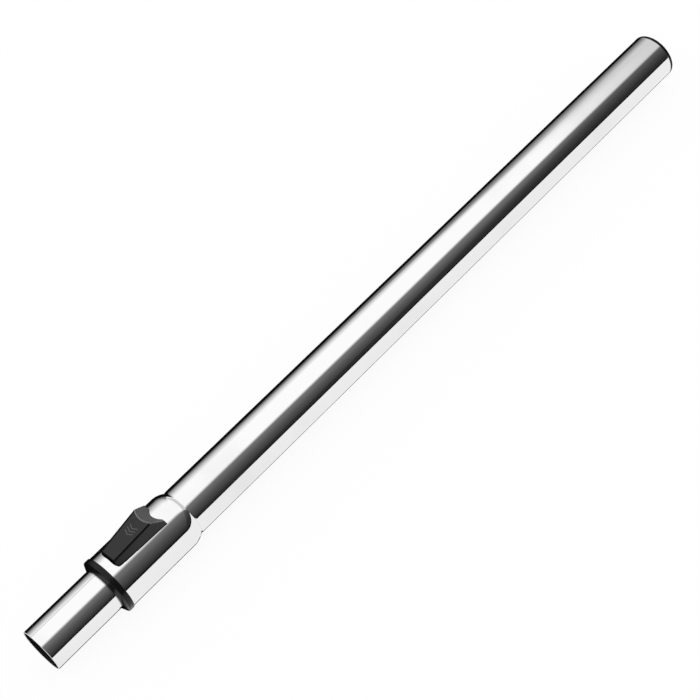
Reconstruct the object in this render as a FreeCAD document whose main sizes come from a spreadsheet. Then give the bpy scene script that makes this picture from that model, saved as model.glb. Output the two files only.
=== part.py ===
import FreeCAD, Part
import math
import os
from types import SimpleNamespace

import Sketcher

# Telescopic vacuum wand, pushed together and lying flat, in millimetres.
# The origin is the centre of the handle mouth. +X runs along the tubes to the tool end,
# +Z is up and the thumb button is on top.

SIZES = {
    # fitting that both ends of the wand take, which all the tubes are sized from
    "fitting_diameter": 32.0,
    "socket_clearance": 0.1,
    # outer tube, from the handle mouth to the shoulder
    "tube_wall": 0.8,
    "shoulder_place": 505.0,
    "groove_depth": 0.5,
    "groove_run": 1.8,
    # shoulder and collar, drawn out of the same tube
    "shoulder_length": 9.0,
    "collar_length": 55.3,
    # bush in the handle end
    "flange_thickness": 2.4,
    "bush_wall": 0.95,
    "bush_length": 45.0,
    "bush_stop": 1.5,
    "bush_stop_height": 0.8,
    "bush_edge": 0.4,
    "bush_fit": 0.05,
    # inner tube
    "spigot_length": 54.4,
    "spigot_gap": 0.4,
    "spigot_step": 0.2,
    "tip_round": 0.3,
    "handle_reach": 78.0,
    # lock notches across the top of the inner tube
    "notch_pitch": 22.0,
    "notch_clearance": 0.15,
    "notch_floor": 1.9,
    "notch_lean": 0.58,
    # groove along the underside of the inner tube
    "key_radius": 2.4,
    "key_depth": 0.8,
    "key_end": 10.0,
    "key_clearance": 0.3,
    # split ring on the upper end of the inner tube
    "glide_length": 24.0,
    "glide_clearance": 0.2,
    "glide_fit": 0.05,
    "glide_split": 3.0,
    "glide_stop_gap": 0.7,
    "lug_length": 5.0,
    "lug_width": 4.0,
    "lug_place": 8.0,
    "lug_clearance": 0.1,
    # sleeve between the inner tube and the collar
    "sleeve_clearance": 0.2,
    "sleeve_thickness": 3.6,
    "sleeve_fit": 0.1,
    "sleeve_back_gap": 2.0,
    # end ring and the soft seal in it
    "ring_overlap": 0.65,
    "ring_band": 3.9,
    "ring_edge": 0.4,
    "nose_length": 2.0,
    "nose_lip": 0.6,
    "nose_clearance": 0.3,
    "skirt_length": 5.3,
    "seal_height": 2.0,
    "seal_clearance": 0.1,
    # cross pin that locks the tubes
    "pin_diameter": 3.0,
    "pin_bite": 1.1,
    "pin_clear": 0.5,
    "pin_back": 23.0,
    "pin_side_gap": 0.1,
    "pin_slot_clearance": 0.1,
    # thumb button
    "button_travel": 4.5,
    "button_stop_gap": 0.8,
    "button_length": 42.8,
    "button_clearance": 0.3,
    "button_front_rise": 2.3,
    "button_back_rise": 8.4,
    "button_front_top_width": 13.5,
    "button_front_base_width": 19.4,
    "button_back_top_width": 18.1,
    "button_back_base_width": 20.9,
    "button_base_drop": 3.0,
    "button_wall": 0.8,
    "scoop_radius": 20.0,
    "scoop_back": 3.0,
    "scoop_lean": 1.15,
    "stake_width": 3.0,
    "stake_spacing": 7.0,
    "stake_clearance": 0.1,
    # slide under the button
    "cheek_thickness": 0.9,
    "cheek_front": 2.4,
    "cheek_back": 1.9,
    "cheek_roof": 0.8,
    "cheek_gap": 0.3,
    "cheek_side_gap": 0.2,
    "plate_thickness": 1.0,
    "plate_front": 5.6,
    "push_lug_length": 1.2,
    "push_lug_width": 2.4,
    # return spring of the slide
    "spring_diameter": 3.0,
    "spring_wire": 0.45,
    "spring_length": 12.6,
    "spring_turns": 4,
    "spring_end_gap": 0.2,
    "spring_side_gap": 0.2,
}


class Dim:
    """A size that carries its value and the sheet expression it is worked out by."""

    def __init__(self, value, text):
        self.value = value
        self.text = text

    def __add__(self, other):
        other = dim(other)
        return Dim(self.value + other.value, f"({self.text} + {other.text})")

    def __sub__(self, other):
        other = dim(other)
        return Dim(self.value - other.value, f"({self.text} - {other.text})")

    def __mul__(self, other):
        other = dim(other)
        return Dim(self.value * other.value, f"({self.text} * {other.text})")

    def __truediv__(self, other):
        other = dim(other)
        return Dim(self.value / other.value, f"({self.text} / {other.text})")

    def __neg__(self):
        return Dim(-self.value, f"(0 - {self.text})")

    def root(self):
        return Dim(math.sqrt(self.value), f"sqrt({self.text})")

    def whole(self):
        return Dim(float(math.floor(self.value)), f"floor({self.text})")

    def slope_angle(self):
        return Dim(math.degrees(math.atan(self.value)), f"atan({self.text})")


def dim(number):
    """A plain number as a Dim; a Dim stays as it is."""
    return number if isinstance(number, Dim) else Dim(float(number), str(float(number)))


doc = FreeCAD.newDocument("telescopic_wand")
sheet = doc.addObject("Spreadsheet::Sheet", "Sizes")
for row, (name, number) in enumerate(SIZES.items(), start=1):
    sheet.set(f"A{row}", name)
    sheet.set(f"B{row}", str(number))
    sheet.setAlias(f"B{row}", name)
doc.recompute()
s = SimpleNamespace(**{name: Dim(float(number), f"Sizes.{name}") for name, number in SIZES.items()})

# Radii, worked out from the fitting outwards
spigot_r = s.fitting_diameter / 2
slide_r = spigot_r - s.spigot_step
slide_bore_r = slide_r - s.tube_wall
socket_r = spigot_r + s.socket_clearance
bush_r = socket_r + s.bush_wall
tube_bore_r = bush_r + s.bush_fit
tube_r = tube_bore_r + s.tube_wall
sleeve_bore_r = slide_r + s.sleeve_clearance
sleeve_r = sleeve_bore_r + s.sleeve_thickness
collar_bore_r = sleeve_r + s.sleeve_fit
collar_r = collar_bore_r + s.tube_wall
ring_r = collar_r + s.ring_overlap
seal_bore_r = slide_r + s.seal_clearance
seal_r = seal_bore_r + s.seal_height
nose_bore_r = slide_r + s.nose_clearance
key_z = -(slide_r + s.key_radius - s.key_depth)

# Places along the wand
collar_start = s.shoulder_place + s.shoulder_length
collar_end = collar_start + s.collar_length
band_end = collar_end + s.ring_band
nose_end = band_end + s.nose_length
spigot_start = nose_end + s.spigot_gap
tip = spigot_start + s.spigot_length
sleeve_start = collar_start + s.sleeve_back_gap
sleeve_end = collar_end - s.skirt_length
glide_stop = s.shoulder_place - s.groove_run - s.glide_stop_gap
button_front = collar_end - s.button_travel - s.button_stop_gap
button_back = button_front - s.button_length
pin_x = button_front - s.pin_back

# The tubes stop pulling apart a whole number of notches away
notch_steps = ((glide_stop - s.glide_length - s.handle_reach) / s.notch_pitch).whole()
extension = notch_steps * s.notch_pitch
glide_front = glide_stop - extension
inner_back = glide_front - s.glide_length

# Heights of the lock
pin_r = s.pin_diameter / 2
pin_z = slide_r - s.pin_bite + pin_r
pin_lift = s.pin_bite + s.pin_clear
slot_half = pin_r + s.pin_slot_clearance
plate_z = pin_z + pin_lift + slot_half + s.cheek_roof
plate_top = plate_z + s.plate_thickness
slide_front = pin_x + s.cheek_front
slide_back = pin_x - s.button_travel - slot_half - s.cheek_back
plate_front = pin_x + s.plate_front

# The button is a ruled wedge: its section runs evenly from front to back
button_base_z = collar_r - s.button_base_drop


def between(first, last, share):
    """The size a given share of the way from one size to another."""
    return first + (last - first) * share


def button_section(x):
    """Half widths at the base and the top of the button, and its top height, at a place x."""
    share = (button_front - x) / s.button_length
    base_half = between(s.button_front_base_width, s.button_back_base_width, share) / 2
    top_half = between(s.button_front_top_width, s.button_back_top_width, share) / 2
    top_z = collar_r + between(s.button_front_rise, s.button_back_rise, share)
    return base_half, top_half, top_z


def button_half_width(x, z):
    """Half the button's width at place x and height z."""
    base_half, top_half, top_z = button_section(x)
    return base_half + (top_half - base_half) * (z - button_base_z) / (top_z - button_base_z)


# The slide under the button is as wide as the button's walls leave room for
cheek_outer = button_half_width(plate_front, plate_top) - s.button_wall - s.cheek_side_gap
cheek_inner = cheek_outer - s.cheek_thickness
pin_half = cheek_outer + s.pin_side_gap
window_half = cheek_outer + s.cheek_gap
window_back = slide_back - s.cheek_gap
window_front = plate_front + s.button_travel + s.cheek_gap
stake_middle = (slide_back + plate_front) / 2
stake_places = [stake_middle - s.stake_spacing / 2, stake_middle + s.stake_spacing / 2]

# The spring lies between the slide's push lug and the front of its pocket
push_lug_back = plate_front - s.push_lug_length
spring_r = s.spring_diameter / 2
spring_start = plate_front + s.spring_end_gap
spring_z = (slide_r + collar_bore_r) / 2
spring_room_front = spring_start + s.spring_length + s.spring_end_gap
spring_room_half = spring_r + s.spring_side_gap


def bind(thing, path, value):
    """Tie a property to the sheet."""
    thing.setExpression(path, dim(value).text)


def sketch_on(body, role, name):
    """A sketch on one of the body's own origin planes."""
    plane = next(f for f in body.Origin.OriginFeatures if f.Role == role)
    sketch = body.newObject("Sketcher::SketchObject", name)
    sketch.AttachmentSupport = [(plane, "")]
    sketch.MapMode = "FlatFace"
    return sketch


def hold_point(sketch, geometry, place, x, y, label):
    """Dimension one point of a sketch from the sketch's origin."""
    for kind, axis, value in (("DistanceX", "x", x), ("DistanceY", "y", y)):
        number = sketch.addConstraint(
            Sketcher.Constraint(kind, -1, 1, geometry, place, dim(value).value)
        )
        sketch.renameConstraint(number, f"{label}_{axis}")
        bind(sketch, f"Constraints.{label}_{axis}", value)


def arc_through(start, end, radius, side):
    """A short arc between two points that swells to the left (side 1) or right (side -1) of the way."""
    chord = end - start
    half = chord.Length / 2
    rise = radius - math.sqrt(radius * radius - half * half)
    left = FreeCAD.Vector(-chord.y, chord.x, 0).normalize()
    middle = (start + end) / 2 + left * rise * side
    return Part.Arc(end, middle, start) if side > 0 else Part.Arc(start, middle, end)


def draw_outline(sketch, points, arcs=()):
    """A closed outline through points; arcs maps the number of an edge to its radius and side."""
    arcs = dict(arcs)
    spots = [FreeCAD.Vector(dim(x).value, dim(y).value, 0) for x, y in points]
    ends = []
    for i, start in enumerate(spots):
        end = spots[(i + 1) % len(spots)]
        if i in arcs:
            radius, side = arcs[i]
            number = sketch.addGeometry(arc_through(start, end, radius.value, side))
            turned = (sketch.Geometry[number].StartPoint - start).Length > 0.001
            ends.append((number, 2, 1) if turned else (number, 1, 2))
        else:
            ends.append((sketch.addGeometry(Part.LineSegment(start, end)), 1, 2))
    for i, (number, first, last) in enumerate(ends):
        after, after_first, _ = ends[(i + 1) % len(ends)]
        sketch.addConstraint(Sketcher.Constraint("Coincident", number, last, after, after_first))
        hold_point(sketch, number, first, *points[i], f"corner{i}")
        if i in arcs:
            rule = sketch.addConstraint(Sketcher.Constraint("Radius", number, arcs[i][0].value))
            sketch.renameConstraint(rule, f"round{i}")
            bind(sketch, f"Constraints.round{i}", arcs[i][0])


def turned_body(name, points, arcs=()):
    """A body turned about the wand's axis from a half section of (place, radius) points."""
    body = doc.addObject("PartDesign::Body", name)
    sketch = sketch_on(body, "XY_Plane", f"{name}_section")
    draw_outline(sketch, points, arcs)
    turn = body.newObject("PartDesign::Revolution", f"{name}_turn")
    turn.Profile = sketch
    turn.ReferenceAxis = (sketch, ["H_Axis"])
    turn.Angle = 360.0
    return body


def pad_across(body, name, points, half_width, feature="Pad"):
    """Pad or pocket an outline of (x, z) points evenly to both sides of the mid-plane."""
    sketch = sketch_on(body, "XZ_Plane", f"{name}_outline")
    draw_outline(sketch, points)
    doc.recompute()
    block = body.newObject(f"PartDesign::{feature}", name)
    block.Profile = sketch
    block.SideType = "Symmetric"
    bind(block, "Length", half_width * 2)
    return block


def box(name, low, high):
    """A block between two corners."""
    block = doc.addObject("Part::Box", name)
    for side, axis, start, end in zip(("Length", "Width", "Height"), "xyz", low, high):
        bind(block, side, dim(end) - dim(start))
        bind(block, f"Placement.Base.{axis}", start)
    return block


def rod_along(axis, name, start, length, radius):
    """A round rod from a start point along x, y or z."""
    rod = doc.addObject("Part::Cylinder", name)
    turns = {"x": (FreeCAD.Vector(0, 1, 0), 90), "y": (FreeCAD.Vector(1, 0, 0), -90)}
    if axis in turns:
        rod.Placement.Rotation = FreeCAD.Rotation(*turns[axis])
    for letter, value in zip("xyz", start):
        bind(rod, f"Placement.Base.{letter}", value)
    bind(rod, "Height", length)
    bind(rod, "Radius", radius)
    return rod


def joined(name, pieces):
    """Pieces fused into one solid."""
    whole = doc.addObject("Part::MultiFuse", name)
    whole.Shapes = pieces
    return whole


def cut(name, base, tools):
    """A base with one or more tools cut out of it."""
    result = doc.addObject("Part::Cut", name)
    result.Base = base
    result.Tool = tools[0] if len(tools) == 1 else joined(f"{name}_tools", tools)
    return result


def outer_tube():
    """Tube, shallow groove, domed shoulder and collar in one wall, with a window for the lock."""
    groove_r = tube_r - s.groove_depth
    groove_start = s.shoulder_place - s.groove_run
    rise = collar_r - groove_r
    dome_r = (s.shoulder_length * s.shoulder_length + rise * rise) / (rise * 2)
    dome_bore_r = dome_r - s.tube_wall
    bore_groove_r = groove_r - s.tube_wall
    drop = dome_bore_r - (collar_bore_r - bore_groove_r)
    dome_bore_run = (dome_bore_r * dome_bore_r - drop * drop).root()
    points = [
        (s.flange_thickness, tube_r),
        (groove_start, tube_r),
        (s.shoulder_place, groove_r),
        (collar_start, collar_r),
        (collar_end, collar_r),
        (collar_end, collar_bore_r),
        (collar_start, collar_bore_r),
        (collar_start - dome_bore_run, bore_groove_r),
        (groove_start, tube_bore_r),
        (s.flange_thickness, tube_bore_r),
    ]
    shell = turned_body("outer_tube_shell", points, {2: (dome_r, 1), 6: (dome_bore_r, -1)})
    low = (window_back, -window_half, slide_r)
    high = (window_front, window_half, ring_r)
    return cut("outer_tube", shell, [box("outer_tube_window", low, high)])


def handle_end_bush():
    """Flanged bush for the handle's spigot, with a stop at its far end."""
    stop_r = socket_r - s.bush_stop_height
    points = [
        (0, socket_r),
        (0, tube_r - s.bush_edge),
        (s.bush_edge, tube_r),
        (s.flange_thickness, tube_r),
        (s.flange_thickness, bush_r),
        (s.bush_length, bush_r),
        (s.bush_length, stop_r),
        (s.bush_length - s.bush_stop, stop_r),
        (s.bush_length - s.bush_stop, socket_r),
    ]
    return turned_body("handle_end_bush", points)


def notched_bar(name, points, wall):
    """A turned bar with the row of cross notches for the lock pin, a wall thickness deeper and wider."""
    body = turned_body(name, points)
    doc.recompute()
    floor_z = pin_z - pin_r - s.notch_clearance - wall
    slant = (s.notch_lean * s.notch_lean + 1).root()
    floor_half = s.notch_floor / 2 + wall * (slant - s.notch_lean)
    mouth_half = floor_half + (pin_z - floor_z) * s.notch_lean
    outline = [
        (pin_x - floor_half, floor_z),
        (pin_x + floor_half, floor_z),
        (pin_x + mouth_half, pin_z),
        (pin_x - mouth_half, pin_z),
    ]
    notch = pad_across(body, f"{name}_notch", outline, spigot_r, "Pocket")
    row = body.newObject("PartDesign::LinearPattern", f"{name}_row")
    row.Originals = [notch]
    row.Direction = (notch.Profile[0], ["H_Axis"])
    row.Reversed = True
    bind(row, "Length", extension)
    bind(row, "Occurrences", notch_steps + 1)
    body.Tip = row
    return body


def inner_tube():
    """Tube with pressed notches on top, a pressed key groove below and a calibrated tool end."""
    step_end = spigot_start + s.spigot_step
    blank_points = [
        (inner_back, 0),
        (inner_back, slide_r),
        (spigot_start, slide_r),
        (step_end, spigot_r),
        (tip - s.tip_round, spigot_r),
        (tip, spigot_r - s.tip_round),
        (tip, 0),
    ]
    core_points = [
        (inner_back, 0),
        (inner_back, slide_bore_r),
        (spigot_start, slide_bore_r),
        (step_end, spigot_r - s.tube_wall),
        (tip, spigot_r - s.tube_wall),
        (tip, 0),
    ]
    blank = notched_bar("inner_tube_blank", blank_points, dim(0))
    core = notched_bar("inner_tube_core", core_points, s.tube_wall)
    key_start = (inner_back, 0, key_z)
    key_length = sleeve_end + s.key_end - inner_back
    groove = rod_along("x", "inner_tube_key", key_start, key_length, s.key_radius)
    bead_length = key_length + s.tube_wall
    bead = rod_along("x", "inner_tube_bead", key_start, bead_length, s.key_radius + s.tube_wall)
    beaded_core = cut("inner_tube_bore", core, [bead])
    slots = lug_boxes("inner_tube_slot", s.lug_clearance, slide_bore_r - s.tube_wall, spigot_r)
    return cut("inner_tube", blank, [beaded_core, groove, *slots])


def lug_boxes(name, margin, inner, outer):
    """Blocks at both sides for the lugs of the glide ring, or for the slots they clip into."""
    start = inner_back + s.lug_place - margin
    end = inner_back + s.lug_place + s.lug_length + margin
    half = s.lug_width / 2 + margin
    left = box(f"{name}_left", (start, inner, -half), (end, outer, half))
    right = box(f"{name}_right", (start, -outer, -half), (end, -inner, half))
    return [left, right]


def glide_ring():
    """Split ring round the tube's end, with two lugs that clip through its wall."""
    bore_r = slide_r + s.glide_fit
    ring_outer_r = tube_bore_r - s.glide_clearance
    points = [
        (inner_back, bore_r),
        (inner_back, ring_outer_r),
        (glide_front, ring_outer_r),
        (glide_front, bore_r),
    ]
    ring = turned_body("glide_ring_turned", points)
    half = s.glide_split / 2
    gap = box("glide_ring_gap", (inner_back, -half, -tube_r), (glide_front, half, 0))
    split = cut("glide_ring_split", ring, [gap])
    middle = (bore_r + ring_outer_r) / 2
    lugs = lug_boxes("glide_ring_lug", dim(0), slide_bore_r, middle)
    return joined("glide_ring", [split, *lugs])


def guide_sleeve():
    """Sleeve inside the collar: slots for the cheeks and the pin, a pocket for the spring, a key rib."""
    points = [
        (sleeve_start, sleeve_bore_r),
        (sleeve_start, sleeve_r),
        (sleeve_end, sleeve_r),
        (sleeve_end, sleeve_bore_r),
    ]
    ring = turned_body("guide_sleeve_turned", points)
    rib_r = s.key_radius - s.key_clearance
    rib = rod_along("x", "guide_sleeve_rib", (sleeve_start, 0, key_z), sleeve_end - sleeve_start, rib_r)
    ribbed = joined("guide_sleeve_ribbed", [ring, rib])
    strip_half = cheek_inner - s.cheek_gap
    low_z = slide_r / 2
    front = slide_front + s.button_travel + s.cheek_gap
    left_low = (window_back, strip_half, low_z)
    left = box("guide_sleeve_left_slot", left_low, (front, window_half, collar_r))
    right_low = (window_back, -window_half, low_z)
    right = box("guide_sleeve_right_slot", right_low, (front, -strip_half, collar_r))
    pin_low = (pin_x - slot_half, -window_half, low_z)
    pin_slot = box("guide_sleeve_pin_slot", pin_low, (pin_x + slot_half, window_half, collar_r))
    room_low = (push_lug_back - s.cheek_gap, -spring_room_half, low_z)
    room_high = (spring_room_front, spring_room_half, collar_r)
    spring_room = box("guide_sleeve_spring_room", room_low, room_high)
    return cut("guide_sleeve", ribbed, [left, right, pin_slot, spring_room])


def end_ring():
    """Ring with a skirt in the collar, a band over the collar's end, a cone nose and room for the seal."""
    points = [
        (sleeve_end, seal_r),
        (sleeve_end, sleeve_r),
        (collar_end, sleeve_r),
        (collar_end, ring_r),
        (band_end - s.ring_edge, ring_r),
        (band_end, ring_r - s.ring_edge),
        (nose_end, nose_bore_r + s.nose_lip),
        (nose_end, nose_bore_r),
        (band_end, nose_bore_r),
        (band_end, seal_r),
    ]
    return turned_body("end_ring", points)


def wiper_seal():
    """Soft ring held between the sleeve and the nose of the end ring."""
    points = [
        (sleeve_end, seal_bore_r),
        (sleeve_end, seal_r),
        (band_end, seal_r),
        (band_end, seal_bore_r),
    ]
    return turned_body("wiper_seal", points)


def button_wedge():
    """The button's wedge, wider and higher towards the handle: ruled flanks under a flat sloping top."""
    overrun = 1.2
    body = doc.addObject("PartDesign::Body", "thumb_button_wedge")
    sections = []
    corners = []
    for end, x in (("front", button_front), ("back", button_back)):
        base_half, top_half, top_z = button_section(x)
        sketch = sketch_on(body, "YZ_Plane", f"thumb_button_{end}")
        bind(sketch, "AttachmentOffset.Base.z", x)
        high_half = between(base_half, top_half, overrun)
        high_z = between(button_base_z, top_z, overrun)
        outline = [
            (-base_half, button_base_z),
            (base_half, button_base_z),
            (high_half, high_z),
            (-high_half, high_z),
        ]
        draw_outline(sketch, outline)
        sections.append(sketch)
        corners.append((x, top_z))
    doc.recompute()
    loft = body.newObject("PartDesign::AdditiveLoft", "thumb_button_flanks")
    loft.Profile = sections[0]
    loft.Sections = [sections[1]]
    loft.Ruled = True
    doc.recompute()
    (front_x, front_z), (back_x, back_z) = corners
    above = [(front_x, front_z), (back_x, back_z), (back_x, back_z * 2), (front_x, front_z * 2)]
    pad_across(body, "thumb_button_top", above, s.button_back_base_width, "Pocket")
    return body


def scoop():
    """Round cutter for the thumb face, leaning towards the tool end."""
    slant = (s.scoop_lean * s.scoop_lean + 1).root()
    along_x = s.scoop_lean / slant
    along_z = dim(1) / slant
    thumb_x = button_back + s.scoop_back
    start_x = thumb_x - along_z * s.scoop_radius - along_x * s.button_length
    start_z = collar_r + along_x * s.scoop_radius - along_z * s.button_length
    start = (start_x, 0, start_z)
    cutter = rod_along("z", "thumb_button_scoop", start, s.button_length * 2, s.scoop_radius)
    cutter.Placement.Rotation = FreeCAD.Rotation(FreeCAD.Vector(0, 1, 0), 0)
    bind(cutter, "Placement.Rotation.Angle", s.scoop_lean.slope_angle())
    return cutter


def thumb_button():
    """Wedge with a scooped thumb face over the collar, with a pocket and two stakes for the slide."""
    saddle_start = (button_back - s.button_length, 0, 0)
    saddle_r = collar_r + s.button_clearance
    saddle = rod_along("x", "thumb_button_saddle", saddle_start, s.button_length * 3, saddle_r)
    pocket_half = cheek_outer + s.cheek_side_gap
    pocket_low = (slide_back - s.cheek_side_gap, -pocket_half, button_base_z)
    pocket_high = (plate_front + s.cheek_side_gap, pocket_half, plate_top + s.cheek_side_gap)
    pocket = box("thumb_button_pocket", pocket_low, pocket_high)
    form = cut("thumb_button_form", button_wedge(), [scoop(), saddle, pocket])
    stake_top = plate_top + s.plate_thickness
    return joined("thumb_button", [form, *stake_boxes("thumb_button_stake", s.stake_width / 2, stake_top)])


def stake_boxes(name, half, top):
    """Square pegs under the button that hold the slide's plate, or the holes they go through."""
    return [
        box(f"{name}_{number}", (x - half, -half, plate_z), (x + half, half, top))
        for number, x in enumerate(stake_places)
    ]


def lock_slide():
    """Plate staked to the button, with two cheeks whose sloping slots lift the pin, and a push lug."""
    body = doc.addObject("PartDesign::Body", "lock_slide_form")
    foot_z = slide_r / 2
    side = [
        (slide_back, foot_z),
        (slide_front, foot_z),
        (slide_front, plate_z),
        (plate_front, plate_z),
        (plate_front, plate_top),
        (slide_back, plate_top),
    ]
    pad_across(body, "lock_slide_side", side, cheek_outer)
    gap = [
        (slide_back - s.cheek_thickness, foot_z - s.cheek_thickness),
        (slide_front + s.cheek_thickness, foot_z - s.cheek_thickness),
        (slide_front + s.cheek_thickness, plate_z),
        (slide_back - s.cheek_thickness, plate_z),
    ]
    pad_across(body, "lock_slide_gap", gap, cheek_inner, "Pocket")
    # the slot follows the pin's way in the slide: back by the travel and up by the lift
    way = (s.button_travel * s.button_travel + pin_lift * pin_lift).root()
    along_x = -(s.button_travel / way)
    along_z = pin_lift / way
    open_end = s.cheek_front * 2
    low_x = pin_x - along_x * open_end
    low_z = pin_z - along_z * open_end
    high_x = pin_x - s.button_travel + along_x * slot_half
    high_z = pin_z + pin_lift + along_z * slot_half
    slot = [
        (low_x + along_z * slot_half, low_z - along_x * slot_half),
        (high_x + along_z * slot_half, high_z - along_x * slot_half),
        (high_x - along_z * slot_half, high_z + along_x * slot_half),
        (low_x - along_z * slot_half, low_z + along_x * slot_half),
    ]
    pad_across(body, "lock_slide_slot", slot, window_half, "Pocket")
    lug = [
        (push_lug_back, spring_z - spring_r),
        (plate_front, spring_z - spring_r),
        (plate_front, plate_top),
        (push_lug_back, plate_top),
    ]
    pad_across(body, "lock_slide_lug", lug, s.push_lug_width / 2)
    under_start = (slide_back - s.cheek_thickness, 0, 0)
    under_length = plate_front - slide_back + s.cheek_thickness * 2
    under = rod_along("x", "lock_slide_under", under_start, under_length, slide_r + s.cheek_gap)
    hole_half = s.stake_width / 2 + s.stake_clearance
    return cut("lock_slide", body, [under, *stake_boxes("lock_slide_hole", hole_half, plate_top)])


def lock_pin():
    """Round cross pin."""
    return rod_along("y", "lock_pin", (pin_x, -pin_half, pin_z), pin_half * 2, pin_r)


def return_spring():
    """Wire wound along the wand, with a square section in place of a round one."""
    body = doc.addObject("PartDesign::Body", "return_spring")
    sketch = sketch_on(body, "XZ_Plane", "return_spring_wire")
    wire_r = s.spring_wire / 2
    coil_r = spring_r - wire_r
    section = [
        (0, coil_r),
        (wire_r, coil_r + wire_r),
        (s.spring_wire, coil_r),
        (wire_r, coil_r - wire_r),
    ]
    draw_outline(sketch, section)
    doc.recompute()
    coil = body.newObject("PartDesign::AdditiveHelix", "return_spring_coil")
    coil.Profile = sketch
    coil.ReferenceAxis = (sketch, ["H_Axis"])
    coil.Mode = "height-turns-angle"
    bind(coil, "Height", s.spring_length - s.spring_wire)
    bind(coil, "Turns", s.spring_turns)
    bind(body, "Placement.Base.x", spring_start)
    bind(body, "Placement.Base.z", spring_z)
    return body


MAKERS = (
    outer_tube,
    handle_end_bush,
    inner_tube,
    glide_ring,
    guide_sleeve,
    end_ring,
    wiper_seal,
    thumb_button,
    lock_slide,
    lock_pin,
    return_spring,
)

pieces = {}
for maker in MAKERS:
    piece = maker()
    piece.Label = maker.__name__
    pieces[maker.__name__] = piece
doc.recompute()

failed = [o.Name for o in doc.Objects if {"Invalid", "Error"} & set(o.State)]
if failed:
    raise RuntimeError(f"these objects failed: {failed}")
for name, piece in pieces.items():
    if piece.Shape.isNull() or not piece.Shape.isValid() or len(piece.Shape.Solids) != 1:
        raise RuntimeError(f"{name} is not one valid solid")

os.makedirs("parts", exist_ok=True)
for name, piece in pieces.items():
    piece.Shape.exportStep(f"parts/{name}.step")
    print(f"{name}: {piece.Shape.Volume:.1f} mm3, box {piece.Shape.BoundBox}")
print(f"extension {extension.value:.3f}, pin lift {pin_lift.value:.3f}, tip at {tip.value:.3f}")
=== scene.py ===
import bmesh
import bpy
import numpy as np
from mathutils import Matrix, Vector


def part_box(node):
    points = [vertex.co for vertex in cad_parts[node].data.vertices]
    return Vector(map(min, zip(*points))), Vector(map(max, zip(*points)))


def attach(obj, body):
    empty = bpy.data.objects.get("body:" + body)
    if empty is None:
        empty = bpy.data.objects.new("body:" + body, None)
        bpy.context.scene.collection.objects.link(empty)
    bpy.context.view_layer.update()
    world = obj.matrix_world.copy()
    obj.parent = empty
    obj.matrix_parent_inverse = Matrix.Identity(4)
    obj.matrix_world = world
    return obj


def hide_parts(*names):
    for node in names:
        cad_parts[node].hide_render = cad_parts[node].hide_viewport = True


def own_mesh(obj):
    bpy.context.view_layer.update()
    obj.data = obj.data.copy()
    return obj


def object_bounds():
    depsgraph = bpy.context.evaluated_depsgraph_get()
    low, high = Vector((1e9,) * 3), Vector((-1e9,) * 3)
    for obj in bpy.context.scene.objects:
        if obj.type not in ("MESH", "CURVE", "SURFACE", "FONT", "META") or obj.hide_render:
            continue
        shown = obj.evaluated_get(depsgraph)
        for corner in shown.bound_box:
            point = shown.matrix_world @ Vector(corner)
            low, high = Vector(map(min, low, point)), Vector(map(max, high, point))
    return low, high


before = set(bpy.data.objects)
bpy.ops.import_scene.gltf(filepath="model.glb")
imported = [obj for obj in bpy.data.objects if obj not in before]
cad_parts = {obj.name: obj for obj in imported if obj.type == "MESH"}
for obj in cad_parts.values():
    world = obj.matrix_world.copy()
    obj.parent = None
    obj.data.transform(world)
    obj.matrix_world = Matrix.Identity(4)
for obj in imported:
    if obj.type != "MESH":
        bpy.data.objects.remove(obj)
cad_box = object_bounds()

# Looks of the telescopic wand. Lengths are in millimetres in the wand's own frame: x along the tubes from
# the handle mouth to the tool end, z up through the button. MM turns them into metres.
MM = 0.001
RIGHT_ANGLE = np.pi / 2
FULL_TURN = 2 * np.pi

scene = bpy.context.scene
scene.view_settings.view_transform = "Standard"


# Node helpers

def add_node(tree, kind, **settings):
    """A node with its settings; a setting named after an input gives that input's value."""
    node = tree.nodes.new(kind)
    for name, value in settings.items():
        if hasattr(node, name):
            setattr(node, name, value)
        else:
            node.inputs[name.replace("_", " ")].default_value = value
    return node


def math_node(tree, operation, first, second=None, third=None):
    """A sum worked out from up to three values, each a socket or a number; gives the result's socket."""
    node = tree.nodes.new("ShaderNodeMath")
    node.operation = operation
    for socket, value in zip(node.inputs, (first, second, third)):
        if isinstance(value, bpy.types.NodeSocket):
            tree.links.new(value, socket)
        elif value is not None:
            socket.default_value = value
    return node.outputs["Value"]


def range_node(tree, value, low, high, to_low, to_high):
    """A value carried from one range to another, smooth at both ends and held there."""
    node = tree.nodes.new("ShaderNodeMapRange")
    node.interpolation_type = "SMOOTHSTEP"
    tree.links.new(value, node.inputs["Value"])
    for name, entry in (("From Min", low), ("From Max", high), ("To Min", to_low), ("To Max", to_high)):
        if isinstance(entry, bpy.types.NodeSocket):
            tree.links.new(entry, node.inputs[name])
        else:
            node.inputs[name].default_value = entry
    return node.outputs["Result"]


def place_parts(tree, kind="Object"):
    """The shaded place, or the way of a ray in a world, as its x, y and z sockets."""
    place = tree.nodes.new("ShaderNodeTexCoord")
    parts = tree.nodes.new("ShaderNodeSeparateXYZ")
    tree.links.new(place.outputs[kind], parts.inputs["Vector"])
    return parts.outputs


# Numbers of the colour sockets on a mix node
MIX_FIRST, MIX_SECOND, MIX_RESULT = 6, 7, 2


def mix_colours(tree, amount, first, second):
    """A colour between two, each a socket or a colour; gives the result's socket."""
    node = add_node(tree, "ShaderNodeMix", data_type="RGBA")
    tree.links.new(amount, node.inputs["Factor"])
    for number, colour in ((MIX_FIRST, first), (MIX_SECOND, second)):
        if isinstance(colour, bpy.types.NodeSocket):
            tree.links.new(colour, node.inputs[number])
        else:
            node.inputs[number].default_value = colour
    return node.outputs[MIX_RESULT]


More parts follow.
